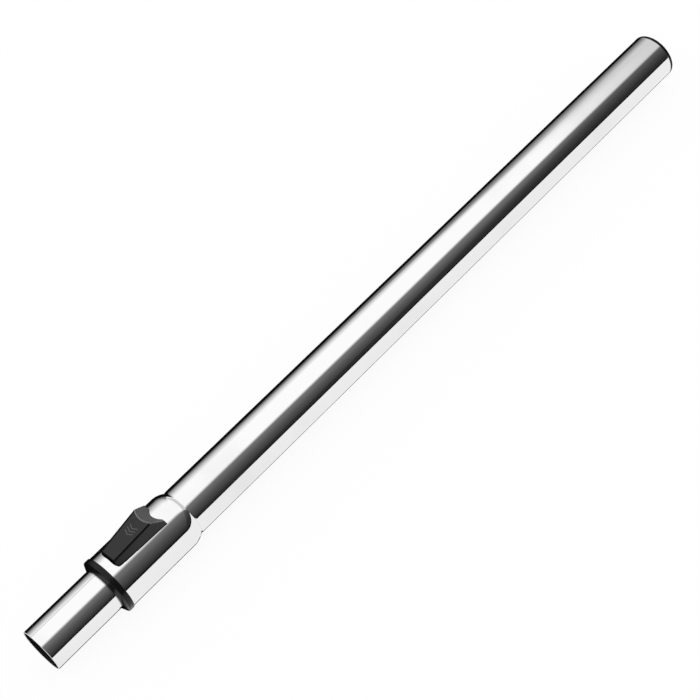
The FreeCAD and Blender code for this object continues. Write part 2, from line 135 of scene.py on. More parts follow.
def mix_shaders(tree, amount, first, second):
    """A shader between two; gives the result's socket."""
    node = tree.nodes.new("ShaderNodeMixShader")
    for socket, source in zip(node.inputs, (amount, first, second)):
        tree.links.new(source, socket)
    return node.outputs["Shader"]


def new_group(name, inputs, outputs):
    """An empty shader group with named sockets; gives the tree and its two end nodes."""
    tree = bpy.data.node_groups.new(name, "ShaderNodeTree")
    for label, kind in inputs:
        tree.interface.new_socket(label, in_out="INPUT", socket_type=kind)
    for label, kind in outputs:
        tree.interface.new_socket(label, in_out="OUTPUT", socket_type=kind)
    return tree, tree.nodes.new("NodeGroupInput"), tree.nodes.new("NodeGroupOutput")


FLOAT = "NodeSocketFloat"
COLOUR = "NodeSocketColor"

# Stretches of a noise between which a finish changes
GRAIN_FROM, GRAIN_TO = 0.3, 0.7
MARKS_FROM, MARKS_TO = 0.45, 0.75
LINES_FROM, LINES_TO = 0.55, 0.75


def moulded_grain_group():
    """Fine grain of moulded plastic: a small noise as height, and roughness that follows it."""
    inputs = [("Scale", FLOAT), ("Low Roughness", FLOAT), ("High Roughness", FLOAT)]
    tree, start, end = new_group("moulded_grain", inputs, [("Height", FLOAT), ("Roughness", FLOAT)])
    place = tree.nodes.new("ShaderNodeTexCoord")
    noise = add_node(tree, "ShaderNodeTexNoise", Detail=3.0)
    tree.links.new(place.outputs["Object"], noise.inputs["Vector"])
    tree.links.new(start.outputs["Scale"], noise.inputs["Scale"])
    low, high = start.outputs["Low Roughness"], start.outputs["High Roughness"]
    rough = range_node(tree, noise.outputs["Fac"], GRAIN_FROM, GRAIN_TO, low, high)
    tree.links.new(noise.outputs["Fac"], end.inputs["Height"])
    tree.links.new(rough, end.inputs["Roughness"])
    return tree


def handling_marks_group():
    """Broad cloudy marks from hands: a soft mask from large noise, and a colour shaded by it."""
    inputs = [("Scale", FLOAT), ("Clean Colour", COLOUR), ("Marked Colour", COLOUR)]
    tree, start, end = new_group("handling_marks", inputs, [("Mask", FLOAT), ("Colour", COLOUR)])
    place = tree.nodes.new("ShaderNodeTexCoord")
    noise = add_node(tree, "ShaderNodeTexNoise", Detail=4.0, Roughness=0.55)
    tree.links.new(place.outputs["Object"], noise.inputs["Vector"])
    tree.links.new(start.outputs["Scale"], noise.inputs["Scale"])
    mask = range_node(tree, noise.outputs["Fac"], MARKS_FROM, MARKS_TO, 0.0, 1.0)
    colour = mix_colours(tree, mask, start.outputs["Clean Colour"], start.outputs["Marked Colour"])
    tree.links.new(mask, end.inputs["Mask"])
    tree.links.new(colour, end.inputs["Colour"])
    return tree


def polishing_lines_group():
    """Lines left by polishing a drawn tube: noise drawn out along x, as a height and a mask."""
    inputs = [("Scale", FLOAT), ("Length", FLOAT)]
    tree, start, end = new_group("polishing_lines", inputs, [("Height", FLOAT), ("Mask", FLOAT)])
    parts = place_parts(tree)
    drawn = tree.nodes.new("ShaderNodeCombineXYZ")
    shortened = math_node(tree, "DIVIDE", parts["X"], start.outputs["Length"])
    tree.links.new(shortened, drawn.inputs["X"])
    tree.links.new(parts["Y"], drawn.inputs["Y"])
    tree.links.new(parts["Z"], drawn.inputs["Z"])
    noise = add_node(tree, "ShaderNodeTexNoise", Detail=2.0)
    tree.links.new(drawn.outputs["Vector"], noise.inputs["Vector"])
    tree.links.new(start.outputs["Scale"], noise.inputs["Scale"])
    tree.links.new(noise.outputs["Fac"], end.inputs["Height"])
    mask = range_node(tree, noise.outputs["Fac"], LINES_FROM, LINES_TO, 0.0, 1.0)
    tree.links.new(mask, end.inputs["Mask"])
    return tree


moulded_grain = moulded_grain_group()
handling_marks = handling_marks_group()
polishing_lines = polishing_lines_group()


def use_group(tree, group, **values):
    """A group placed in a material with its own values."""
    node = tree.nodes.new("ShaderNodeGroup")
    node.node_tree = group
    for name, value in values.items():
        node.inputs[name.replace("_", " ")].default_value = value
    return node


def new_material(name, **settings):
    """A material with one Principled BSDF; gives the material, its tree and the shader."""
    material = bpy.data.materials.new(name)
    material.use_nodes = True
    tree = material.node_tree
    shader = tree.nodes["Principled BSDF"]
    for label, value in settings.items():
        shader.inputs[label.replace("_", " ")].default_value = value
    return material, tree, shader


def bare_material(name):
    """A material with nothing but its output; gives the material, its tree and the surface's socket."""
    material = bpy.data.materials.new(name)
    material.use_nodes = True
    tree = material.node_tree
    tree.nodes.clear()
    return material, tree, tree.nodes.new("ShaderNodeOutputMaterial").inputs["Surface"]


def add_bump(tree, shader, height, strength, distance):
    """A height that bends the shader's normal."""
    bump = add_node(tree, "ShaderNodeBump", Strength=strength, Distance=distance)
    tree.links.new(height, bump.inputs["Height"])
    tree.links.new(bump.outputs["Normal"], shader.inputs["Normal"])


# Heights of the finishes' bumps, in millimetres
GRAIN_HEIGHT = 0.05
LINE_HEIGHT = 0.02
PLASTIC_MARK_SCALE = 60.0


def plastic(name, colour, marked, scale, low, high, strength, specular):
    """Moulded plastic: grain in height and roughness, and a colour that hands have dulled a little."""
    material, tree, shader = new_material(name)
    shader.inputs["Specular IOR Level"].default_value = specular
    grain = use_group(tree, moulded_grain, Scale=scale, Low_Roughness=low, High_Roughness=high)
    marks = use_group(
        tree, handling_marks, Scale=PLASTIC_MARK_SCALE, Clean_Colour=colour, Marked_Colour=marked
    )
    tree.links.new(grain.outputs["Roughness"], shader.inputs["Roughness"])
    tree.links.new(marks.outputs["Colour"], shader.inputs["Base Color"])
    add_bump(tree, shader, grain.outputs["Height"], strength, GRAIN_HEIGHT * MM)
    return material


def tone_colour(material, tone, colour):
    """Lay a colour over the material's own, as strongly as the named tone on the piece's points."""
    tree = material.node_tree
    base = tree.nodes["Principled BSDF"].inputs["Base Color"]
    under = base.links[0].from_socket
    mask = add_node(tree, "ShaderNodeAttribute", attribute_name=tone)
    tree.links.new(mix_colours(tree, mask.outputs["Fac"], under, colour), base)


def tone_gloss(material, tone):
    """Take the gloss away where the named tone on the piece's points is strong."""
    tree = material.node_tree
    gloss = tree.nodes["Principled BSDF"].inputs["Specular IOR Level"]
    mask = add_node(tree, "ShaderNodeAttribute", attribute_name=tone)
    tree.links.new(range_node(tree, mask.outputs["Fac"], 0.0, 1.0, gloss.default_value, 0.0), gloss)


SEAM_ANGLE = np.radians(-4.5)
SEAM_HALF_WIDTH = 0.12
SEAM_FADE = 0.5
SEAM_COLOUR = (0.10, 0.10, 0.11, 1.0)
CHROME_ROUGHNESS = 0.035
MARK_ROUGHNESS = 0.035
LINE_ROUGHNESS = 0.03
SEAM_ROUGHNESS = 0.3


def chrome(name, seam):
    """Bright chrome on drawn tube: polishing lines, faint marks and, where asked, a weld line along it."""
    material, tree, shader = new_material(name, Metallic=1.0)
    marks = use_group(
        tree,
        handling_marks,
        Scale=18.0,
        Clean_Colour=(0.84, 0.84, 0.84, 1.0),
        Marked_Colour=(0.78, 0.78, 0.78, 1.0),
    )
    lines = use_group(tree, polishing_lines, Scale=900.0, Length=60.0)
    rough = math_node(tree, "MULTIPLY_ADD", marks.outputs["Mask"], MARK_ROUGHNESS, CHROME_ROUGHNESS)
    rough = math_node(tree, "MULTIPLY_ADD", lines.outputs["Mask"], LINE_ROUGHNESS, rough)
    colour = marks.outputs["Colour"]
    if seam:
        mask = seam_mask(tree)
        rough = math_node(tree, "MULTIPLY_ADD", mask, SEAM_ROUGHNESS, rough)
        colour = mix_colours(tree, mask, colour, SEAM_COLOUR)
    tree.links.new(colour, shader.inputs["Base Color"])
    tree.links.new(rough, shader.inputs["Roughness"])
    add_bump(tree, shader, lines.outputs["Height"], strength=0.06, distance=LINE_HEIGHT * MM)
    return material


def seam_mask(tree):
    """One on the weld line, whose angle about x from the top is fixed, and nothing elsewhere."""
    parts = place_parts(tree)
    angle = math_node(tree, "ARCTAN2", parts["Y"], parts["Z"])
    away = math_node(tree, "ABSOLUTE", math_node(tree, "SUBTRACT", angle, SEAM_ANGLE))
    half = SEAM_HALF_WIDTH / spigot_r
    return range_node(tree, away, half * (1 - SEAM_FADE), half * (1 + SEAM_FADE), 1.0, 0.0)


# Mesh helpers

ROUND_STEPS = 6
LEAST_HALF_ANGLE = 0.01
TINY = 1e-6
NEARLY_NOUGHT = 1e-9
CREASE_ANGLE = np.radians(35.0)
WELD_DISTANCE = 0.002
SLIVER_LENGTH = 0.001


def rounded(corners):
    """A closed outline from corners (place, radius, rounding).

    Each corner is swapped for the arc that touches both its sides. The arc's centre lies on the corner's
    bisector, rounding / sin(half the corner's angle) away, and its points swing evenly between the two
    touching points. A corner with no rounding stays one point.
    """
    corners = np.array(corners, float)
    here, radius = corners[:, :2], corners[:, 2:]
    back = np.roll(here, 1, 0) - here
    ahead = np.roll(here, -1, 0) - here
    back /= np.linalg.norm(back, axis=1, keepdims=True)
    ahead /= np.linalg.norm(ahead, axis=1, keepdims=True)
    half = np.arccos(np.clip((back * ahead).sum(1, keepdims=True), -1, 1)) / 2
    half = np.clip(half, LEAST_HALF_ANGLE, RIGHT_ANGLE - TINY)
    bisector = back + ahead
    bisector /= np.maximum(np.linalg.norm(bisector, axis=1, keepdims=True), NEARLY_NOUGHT)
    centre = here + bisector * radius / np.sin(half)
    touch = radius / np.tan(half)
    first = here + back * touch - centre
    last = here + ahead * touch - centre
    swing = np.pi - 2 * half
    share = np.linspace(0, 1, ROUND_STEPS)
    weight = np.sin(np.stack([(1 - share) * swing, share * swing])) / np.sin(swing)
    points = centre[:, None] + weight[0][..., None] * first[:, None] + weight[1][..., None] * last[:, None]
    points = points.reshape(-1, 2)
    moved = np.linalg.norm(points - np.roll(points, 1, 0), axis=1) > TINY
    return points[moved]


def turned(profile, angles):
    """A grid turned about the wand's axis: x, r sin(angle), r cos(angle), the angle from the top to +y."""
    x = profile[:, 0, None] + 0 * angles
    r = profile[:, 1, None]
    return np.stack([x, r * np.sin(angles), r * np.cos(angles)], axis=-1)


def grid_faces(rows, columns, close_rows=False, close_columns=False):
    """The four-cornered faces of a grid of points, as vertex numbers in an array (rows, columns, 4)."""
    number = np.arange(rows * columns).reshape(rows, columns)
    below = np.roll(number, -1, 0)
    faces = np.stack([number, np.roll(number, -1, 1), np.roll(below, -1, 1), below], axis=-1)
    return faces[: rows if close_rows else rows - 1, : columns if close_columns else columns - 1]


def add_piece(name, points, faces, materials, body, replaced=(), parts=None, tones=()):
    """A smooth-shaded mesh piece from points in millimetres, riding on a body.

    Where it has more than one material, parts gives each face's number in the list. Tones are named values
    on its points that a material reads.
    """
    mesh = bpy.data.meshes.new(name)
    mesh.from_pydata((points.reshape(-1, 3) * MM).tolist(), [], faces.reshape(-1, 4).tolist())
    for material in materials:
        mesh.materials.append(material)
    if parts is not None:
        mesh.polygons.foreach_set("material_index", parts.astype(np.int32).ravel())
    for label, values in tones:
        tone = mesh.attributes.new(label, "FLOAT", "POINT")
        tone.data.foreach_set("value", values.astype(np.float32).ravel())
    shell = bmesh.new()
    shell.from_mesh(mesh)
    bmesh.ops.remove_doubles(shell, verts=shell.verts, dist=WELD_DISTANCE * MM)
    bmesh.ops.dissolve_degenerate(shell, edges=shell.edges, dist=SLIVER_LENGTH * MM)
    bmesh.ops.recalc_face_normals(shell, faces=shell.faces)
    shell.to_mesh(mesh)
    shell.free()
    mesh.shade_smooth()
    mesh.set_sharp_from_angle(angle=CREASE_ANGLE)
    piece = bpy.data.objects.new(name, mesh)
    scene.collection.objects.link(piece)
    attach(piece, body)
    if replaced:
        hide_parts(*replaced)
    return piece


def node_ends(node, axis=0):
    """Lowest and highest place of a CAD node along an axis, in millimetres."""
    low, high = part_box(node)
    return low[axis] / MM, high[axis] / MM


# Sizes read from the frame, and those that the frame's boxes don't give

tube_start, collar_end = node_ends("outer_tube")
collar_r = node_ends("outer_tube", 1)[1]
bush_start, bush_end = node_ends("handle_end_bush")
tube_r = node_ends("handle_end_bush", 1)[1]
sleeve_end, nose_end = node_ends("end_ring")
ring_r = node_ends("end_ring", 1)[1]
inner_back, tip = node_ends("inner_tube")
spigot_r = node_ends("inner_tube", 1)[1]
seal_r = node_ends("wiper_seal", 1)[1]
band_end = node_ends("wiper_seal")[1]
sleeve_r = node_ends("guide_sleeve", 1)[1]
button_back, button_front = node_ends("thumb_button")
pin_x = sum(node_ends("lock_pin")) / 2
pin_z = sum(node_ends("lock_pin", 2)) / 2
slide_back, plate_front = node_ends("lock_slide")
cheek_outer = node_ends("lock_slide", 1)[1]

TUBE_WALL = 0.8
SHOULDER_PLACE = 505.0
SHOULDER_LENGTH = 9.0
GROOVE_DEPTH = 0.5
GROOVE_RUN = 1.8
SPIGOT_GAP = 0.4
SPIGOT_STEP = 0.2
BUTTON_TRAVEL = 4.5
WINDOW_GAP = 0.3

slide_r = spigot_r - SPIGOT_STEP
spigot_start = nose_end + SPIGOT_GAP
collar_start = SHOULDER_PLACE + SHOULDER_LENGTH
groove_start = SHOULDER_PLACE - GROOVE_RUN
groove_r = tube_r - GROOVE_DEPTH

# A row this far from a rounded end keeps the shading of the straight wall beside it level
HOLD = 0.4
TURNED_COLUMNS = 192
even_angles = np.linspace(0, FULL_TURN, TURNED_COLUMNS, endpoint=False)


def dull_steel(name, metallic, clean, marked):
    """Steel without a polish: a grain that scatters the light, and cloudy marks of a second colour."""
    material, tree, shader = new_material(name, Metallic=metallic)
    grain = use_group(tree, moulded_grain, Scale=700.0, Low_Roughness=0.55, High_Roughness=0.8)
    marks = use_group(tree, handling_marks, Scale=90.0, Clean_Colour=clean, Marked_Colour=marked)
    tree.links.new(marks.outputs["Colour"], shader.inputs["Base Color"])
    tree.links.new(grain.outputs["Roughness"], shader.inputs["Roughness"])
    add_bump(tree, shader, grain.outputs["Height"], strength=0.1, distance=GRAIN_HEIGHT * MM)
    return material


# The bore is unpolished steel, its colour painted near black as the shade inside the tube.
bare_bore_painted_shade = dull_steel("bare_bore_painted_shade", 0.6, (0.010, 0.010, 0.011, 1.0), (0.018, 0.017, 0.016, 1.0))
cut_edge = dull_steel("cut_edge", 0.2, (0.90, 0.91, 0.92, 1.0), (0.82, 0.82, 0.82, 1.0))
chrome_outer = chrome("chrome_outer", seam=False)
chrome_inner = chrome("chrome_inner", seam=True)
black_button = plastic(
    "black_button",
    colour=(0.014, 0.014, 0.015, 1.0),
    marked=(0.019, 0.019, 0.020, 1.0),
    scale=2600.0, low=0.42, high=0.62, strength=0.25, specular=0.35,
)
# Painted shade: the channel along the top, the front lip and the foot by the collar are darkened to near
# black and lose their gloss.
tone_colour(black_button, "channel", (0.0015, 0.0015, 0.0015, 1.0))
tone_gloss(black_button, "channel")
# Painted highlights: the thumb face is lightened, most on the tips of its grip pyramids, and its rim more
# still.
tone_colour(black_button, "painted_grip_highlight", (0.11, 0.11, 0.11, 1.0))
tone_colour(black_button, "painted_rim_highlight", (0.22, 0.22, 0.22, 1.0))
black_ring = plastic(
    "black_ring",
    colour=(0.004, 0.004, 0.005, 1.0),
    marked=(0.007, 0.007, 0.008, 1.0),
    scale=1500.0, low=0.14, high=0.24, strength=0.04, specular=0.2,
)
black_rim = plastic(
    "black_rim",
    colour=(0.004, 0.004, 0.005, 1.0),
    marked=(0.007, 0.007, 0.008, 1.0),
    scale=1800.0, low=0.30, high=0.45, strength=0.12, specular=0.12,
)
chevron_grey = plastic(
    "chevron_grey",
    colour=(0.10, 0.10, 0.10, 1.0),
    marked=(0.075, 0.075, 0.075, 1.0),
    scale=2600.0, low=0.45, high=0.6, strength=0.1, specular=0.4,
)


# Chrome outer tube: tube, groove, domed shoulder and collar, with the window under the button

TUBE_ROUND = 0.1
GROOVE_ROUND = 0.12
COLLAR_ROUND = 0.15
LIP_STEPS = 8
DOME_STEPS = 23
WINDOW_COLUMNS = 32
PLAIN_COLUMNS = 192
FAR_OFF = 1000.0


def outer_tube():
    """A turned shell whose outer and inner outlines make one closed loop, with a window cut through both.

    The tube curves in to the groove by one arc and the dome rises from it by another, which leaves the
    collar level. Columns lie on the window's side walls, y = half its width at each radius: inside the
    window the angles are scaled by asin(half / r), and outside it they spread evenly over the rest.
    """
    lip_r = (GROOVE_RUN**2 + GROOVE_DEPTH**2) / (2 * GROOVE_DEPTH)
    rise = collar_r - groove_r
    dome_r = (SHOULDER_LENGTH**2 + rise**2) / (2 * rise)
    lip = np.linspace(RIGHT_ANGLE, np.arccos(GROOVE_RUN / lip_r), LIP_STEPS + 1)[:-1]
    dome = np.linspace(np.arccos(-SHOULDER_LENGTH / dome_r), RIGHT_ANGLE, DOME_STEPS + 1)[1:]
    window = (slide_back - WINDOW_GAP, plate_front + BUTTON_TRAVEL + WINDOW_GAP)
    half = cheek_outer + WINDOW_GAP

    def arc(start, top_r, radius, angles, depth):
        x = start + (radius - depth) * np.cos(angles)
        r = top_r - radius + (radius - depth) * np.sin(angles)
        return np.stack([x, r, 0 * angles], axis=1)

    def wall(depth):
        return [
            (tube_start, tube_r - depth, TUBE_ROUND),
            (tube_start + HOLD, tube_r - depth, 0),
            (groove_start - HOLD, tube_r - depth, 0),
            *arc(groove_start, tube_r, lip_r, lip, depth),
            (SHOULDER_PLACE, groove_r - depth, GROOVE_ROUND),
            *arc(collar_start, collar_r, dome_r, dome, depth),
            (window[0], collar_r - depth, 0),
            (window[1], collar_r - depth, 0),
            (collar_end - HOLD, collar_r - depth, 0),
            (collar_end, collar_r - depth, COLLAR_ROUND),
        ]

    outline = rounded(wall(0) + wall(TUBE_WALL)[::-1])
    outside_count = len(outline) // 2
    edge = np.arcsin(half / collar_r)
    over_window = np.linspace(-1, 1, WINDOW_COLUMNS + 1)[:-1]
    over_rest = np.linspace(1, 3, PLAIN_COLUMNS + 1)[:-1]
    share = np.concatenate([over_window, over_rest])

    def columns(edge_angle):
        spread = edge_angle + (share - 1) / 2 * (FULL_TURN - 2 * edge_angle)
        return np.where(share < 1, share * edge_angle, spread)

    inner_edge = np.arcsin(half / (collar_r - TUBE_WALL))
    outside = np.arange(len(outline)) < outside_count
    angles = np.where(outside[:, None], columns(edge), columns(inner_edge))
    points = turned(outline, angles)
    faces = grid_faces(len(outline), len(share), True, True)

    def row_at(x, on_outside):
        return np.argmin(np.abs(outline[:, 0] - x) + FAR_OFF * (outside != on_outside))

    out_back, out_front = row_at(window[0], True), row_at(window[1], True)
    in_back, in_front = row_at(window[0], False), row_at(window[1], False)
    keep = np.ones(faces.shape[:2], bool)
    keep[out_back:out_front, :WINDOW_COLUMNS] = False
    keep[in_front:in_back, :WINDOW_COLUMNS] = False
    number = np.arange(len(outline) * len(share)).reshape(len(outline), len(share))
    across = np.arange(WINDOW_COLUMNS)

    def end_wall(outer_row, inner_row):
        return np.stack(
            [
                number[outer_row, across],
                number[outer_row, across + 1],
                number[inner_row, across + 1],
                number[inner_row, across],
            ],
            axis=1,
        )

    sides = [
        [number[out_back, c], number[out_front, c], number[in_front, c], number[in_back, c]]
        for c in (0, WINDOW_COLUMNS)
    ]
    walls = np.concatenate([end_wall(out_back, in_back), end_wall(out_front, in_front), sides])
    faces = np.concatenate([faces[keep], walls])
    return add_piece(
        "chrome_outer_tube", points, faces, [chrome_outer], "outer_assembly", ["outer_tube"]
    )


outer_tube()


# Chrome inner tube with pressed lock notches and key groove

NOTCH_PITCH = 22.0
NOTCH_STEPS = 18
NOTCH_CLEARANCE = 0.15
NOTCH_FLOOR_HALF = 0.95
NOTCH_LEAN = 0.58
KEY_RADIUS = 2.4
KEY_DEPTH = 0.8
KEY_END = 574.0
KEY_RUN_OUT = 3.0
PRESS_ROUND = 0.45
BORE_SHADE_START = 0.15
EDGE_START = 0.25
TIP_ROUND = 0.3
BORE_ROUND = 0.2
# Rows to one side of a notch's middle, closest where its flanks bend, and the coarser ones of the bore
NOTCH_ROWS = (0, 0.5, 0.8, 1.0, 1.2, 1.4, 1.6, 1.8, 2.1, 2.6, 3.4)
BORE_ROWS = (-3.4, -2.2, -1.0, 0, 1.0, 2.2, 3.4)
KEY_ROWS = 8
KEY_ROWS_PAST = 0.5
KEY_REACH_PAST = 1.0
NOTCH_EDGE = np.radians(28.0)
KEY_EDGE = np.pi - np.radians(13.0)
NOTCH_COLUMNS, SIDE_COLUMNS, KEY_COLUMNS = 36, 42, 24

pin_r = (node_ends("lock_pin", 2)[1] - node_ends("lock_pin", 2)[0]) / 2


def soft_min(first, second, width):
    """The lesser of two heights, with the corner between them rounded over a width."""
    overlap = np.maximum(width - np.abs(first - second), 0)
    return np.minimum(first, second) - overlap**2 / (4 * width)


def inner_tube():
    """A tube surface pressed in from above and below.

    A point starts at (r sin a, r cos a). On top its height is the lesser of that and the notch's height at
    its x: a flat floor with two leaning flanks round each notch centre. Below it is the greater of that and
    the key groove's round back. Both corners are rounded as a press leaves them. The inner surface is the
    same, a wall thickness further in, and the tip joins the two.
    """
    centres = pin_x - NOTCH_PITCH * np.arange(NOTCH_STEPS + 1)[::-1]
    near = np.array(NOTCH_ROWS)
    fine = np.concatenate([-near[:0:-1], near])
    key_rows = np.linspace(KEY_END - KEY_RUN_OUT, KEY_END + KEY_ROWS_PAST, KEY_ROWS)
    step_rows = [spigot_start, spigot_start + SPIGOT_STEP]
    end_rows = [inner_back, tip - TIP_ROUND - HOLD]
    shared_rows = np.concatenate([end_rows, key_rows, step_rows])
    outer_x = np.sort(np.concatenate([shared_rows, (centres[:, None] + fine).ravel()]))
    inner_x = np.sort(np.concatenate([shared_rows, (centres[:, None] + np.array(BORE_ROWS)).ravel()]))
    round_angles = np.linspace(0, RIGHT_ANGLE, ROUND_STEPS)
    lip_x = tip - TIP_ROUND + TIP_ROUND * np.sin(round_angles)
    lip_r = spigot_r - TIP_ROUND + TIP_ROUND * np.cos(round_angles)
    inner_lip_x = tip - BORE_ROUND + BORE_ROUND * np.sin(round_angles)
    inner_lip_r = spigot_r - TUBE_WALL + BORE_ROUND - BORE_ROUND * np.cos(round_angles)

    def base_radius(x):
        return np.interp(x, step_rows, [slide_r, spigot_r])

    bore_x = inner_x[::-1]
    x = np.concatenate([outer_x, lip_x, inner_lip_x[::-1], bore_x])
    r = np.concatenate([base_radius(outer_x), lip_r, inner_lip_r[::-1], base_radius(bore_x) - TUBE_WALL])
    depth = TUBE_WALL * (np.arange(len(x)) >= len(outer_x) + len(lip_x))
    x, r, depth = x[:, None], r[:, None], depth[:, None]
    angles = np.concatenate(
        [
            np.linspace(-NOTCH_EDGE, NOTCH_EDGE, NOTCH_COLUMNS + 1)[:-1],
            np.linspace(NOTCH_EDGE, KEY_EDGE, SIDE_COLUMNS + 1)[:-1],
            np.linspace(KEY_EDGE, FULL_TURN - KEY_EDGE, KEY_COLUMNS + 1)[:-1],
            np.linspace(FULL_TURN - KEY_EDGE, FULL_TURN - NOTCH_EDGE, SIDE_COLUMNS + 1)[:-1],
        ]
    )
    y = r * np.sin(angles)
    z = r * np.cos(angles)
    away = np.abs((x - pin_x + NOTCH_PITCH / 2) % NOTCH_PITCH - NOTCH_PITCH / 2)
    in_row = (x > centres[0] - NOTCH_PITCH / 2) & (x < centres[-1] + NOTCH_PITCH / 2)
    slant = np.hypot(1, NOTCH_LEAN)
    floor_half = NOTCH_FLOOR_HALF + depth * (slant - NOTCH_LEAN)
    notch_floor = pin_z - pin_r - NOTCH_CLEARANCE - depth
    notch_z = notch_floor + np.maximum(away - floor_half, 0) / NOTCH_LEAN
    notch_z = np.where(in_row, notch_z, 2 * spigot_r)
    pressed = soft_min(z, notch_z, PRESS_ROUND)
    z = np.where(z > 0, pressed, z)
    key_round = KEY_RADIUS + depth
    key_z = -(slide_r + KEY_RADIUS - KEY_DEPTH) + np.sqrt(np.maximum(key_round**2 - y**2, 0))
    fade = np.clip((x - (KEY_END - KEY_RUN_OUT)) / KEY_RUN_OUT, 0, 1)
    key_z = key_z - 2 * KEY_DEPTH * fade**2
    in_key = (z < 0) & (np.abs(y) < key_round) & (x < KEY_END + KEY_REACH_PAST)
    z = np.where(in_key, -soft_min(-z, -key_z, PRESS_ROUND), z)
    points = np.stack([x + 0 * y, y, z], axis=-1)
    faces = grid_faces(*points.shape[:2], True, True)
    all_round = np.ones_like(angles, bool)
    # Past the tip's edge the bore takes the steel painted near black as shade.
    in_bore = (depth > 0) & (x < tip - BORE_SHADE_START) & all_round
    on_edge = (x > tip - EDGE_START) & ~in_bore
    return add_piece(
        "chrome_inner_tube",
        points,
        faces,
        [chrome_inner, bare_bore_painted_shade, cut_edge],
        "inner_assembly",
        ["inner_tube"],
        in_bore + 2 * on_edge,
    )


inner_tube()


# Black rings at both ends of the outer tube

SOCKET_CLEARANCE = 0.1
BUSH_FIT = 0.05
BUSH_STOP = 1.5
BUSH_STOP_HEIGHT = 0.8
NOSE_CLEARANCE = 0.3
NOSE_LIP = 0.6
# Roundings of the two rings' edges
SOCKET_EDGE = 0.35
RIM_EDGE = 0.4
SEAT_EDGE = 0.12
BUSH_EDGE = 0.3
STOP_EDGE = 0.25
STOP_BACK_EDGE = 0.2
SLEEVE_EDGE = 0.3
BAND_BACK_EDGE = 0.45
BAND_FRONT_EDGE = 0.9
NOSE_EDGE = 0.35
NOSE_BORE_EDGE = 0.2

socket_r = spigot_r + SOCKET_CLEARANCE
bush_r = tube_r - TUBE_WALL - BUSH_FIT
stop_r = socket_r - BUSH_STOP_HEIGHT
nose_bore_r = slide_r + NOSE_CLEARANCE


def turned_piece(name, corners, material, body, node):
    """A ring turned from a closed outline with rounded corners."""
    outline = rounded(corners)
    points = turned(outline, np.broadcast_to(even_angles, (len(outline), TURNED_COLUMNS)))
    faces = grid_faces(len(outline), TURNED_COLUMNS, True, True)
    return add_piece(name, points, faces, [material], body, [node])


turned_piece(
    "handle_rim",
    [
        (bush_start, socket_r, SOCKET_EDGE),
        (bush_start, tube_r, RIM_EDGE),
        (tube_start, tube_r, SEAT_EDGE),
        (tube_start, bush_r, 0),
        (bush_end, bush_r, BUSH_EDGE),
        (bush_end, stop_r, STOP_EDGE),
        (bush_end - BUSH_STOP, stop_r, STOP_BACK_EDGE),
        (bush_end - BUSH_STOP, socket_r, 0),
    ],
    black_rim,
    "outer_assembly",
    "handle_end_bush",
)
turned_piece(
    "collar_ring",
    [
        (sleeve_end, seal_r, 0),
        (sleeve_end, sleeve_r, SLEEVE_EDGE),
        (collar_end, sleeve_r, 0),
        (collar_end, ring_r, BAND_BACK_EDGE),
        (band_end, ring_r, BAND_FRONT_EDGE),
        (nose_end, nose_bore_r + NOSE_LIP, NOSE_EDGE),
        (nose_end, nose_bore_r, NOSE_BORE_EDGE),
        (band_end, nose_bore_r, 0),
        (band_end, seal_r, 0),
    ],
    black_ring,
    "outer_assembly",
    "end_ring",
)


# Thumb button: one height over the collar, worked out from its faces

BUTTON_BASE_DROP = 3.0
FRONT_RISE, BACK_RISE = 2.3, 8.4
FRONT_TOP_HALF, BACK_TOP_HALF = 6.75, 9.05
FRONT_BASE_HALF, BACK_BASE_HALF = 9.7, 10.45
SCOOP_RADIUS = 20.0
SCOOP_BACK = 3.0
SCOOP_LEAN = 1.15
BUTTON_GAP = 0.3
EDGE_ROUND = 0.22
END_DRAFT = 0.16
FRONT_ROUND = 1.6
CORNER_ROUND = 4.0
EDGE_CHANNEL = 0.5
CHANNEL_INSET = 0.6
FOOT_HEIGHT = 0.6
GRIP_PITCH, GRIP_DEPTH = 1.5, 0.15
GRIP_RUN_OUT = 0.8
GRIP_SKIP = 0.5
LEAST_GRIP_HIGHLIGHT = 0.35
CHANNEL_SPREAD = 1.4
HIGHLIGHT_WIDTH = 0.28
LIP_WIDTH = 1.1
MEETING_HEIGHT = 0.004
POCKET_GAP = 0.2
POCKET_WALL_DRAFT = 0.02
POCKET_MARGIN_ALONG = 1.0
POCKET_MARGIN_ACROSS = 0.3
# Rows from back to front: the rear edge, the thumb face, the plain top and the rounded front
REAR_END, REAR_ROWS = 1.2, 12
THUMB_END, THUMB_ROWS = 13.2, 90
TOP_ROWS = 36
FRONT_LENGTH, FRONT_ROWS = 1.6, 18
# Columns across: each flank, each rim of the top and the top between them
RIM_WIDTH = 1.5
FLANK_COLUMNS, RIM_COLUMNS, TOP_COLUMNS = 18, 15, 101
HALVINGS = 40

button_length = button_front - button_back
button_base = collar_r - BUTTON_BASE_DROP
pocket_back, pocket_front = slide_back - POCKET_GAP, plate_front + POCKET_GAP
pocket_half = cheek_outer + POCKET_GAP
pocket_top = node_ends("lock_slide", 2)[1] + POCKET_GAP


def button_section(x):
    """Half widths at the base and the top, and the top's height: each runs evenly from front to back."""
    share = (button_front - x) / button_length
    base_half = FRONT_BASE_HALF + (BACK_BASE_HALF - FRONT_BASE_HALF) * share
    top_half = FRONT_TOP_HALF + (BACK_TOP_HALF - FRONT_TOP_HALF) * share
    top_z = collar_r + FRONT_RISE + (BACK_RISE - FRONT_RISE) * share
    return base_half, top_half, top_z


def saddle_height(y):
    """Height of the button's underside, a round saddle that clears the collar."""
    return np.sqrt((collar_r + BUTTON_GAP) ** 2 - y**2)


def scoop_grip(x, y):
    """Small pyramids on the thumb face: the product of two waves along the slope and across it."""
    return GRIP_DEPTH * np.sin(FULL_TURN * x / GRIP_PITCH) * np.sin(FULL_TURN * y / GRIP_PITCH)


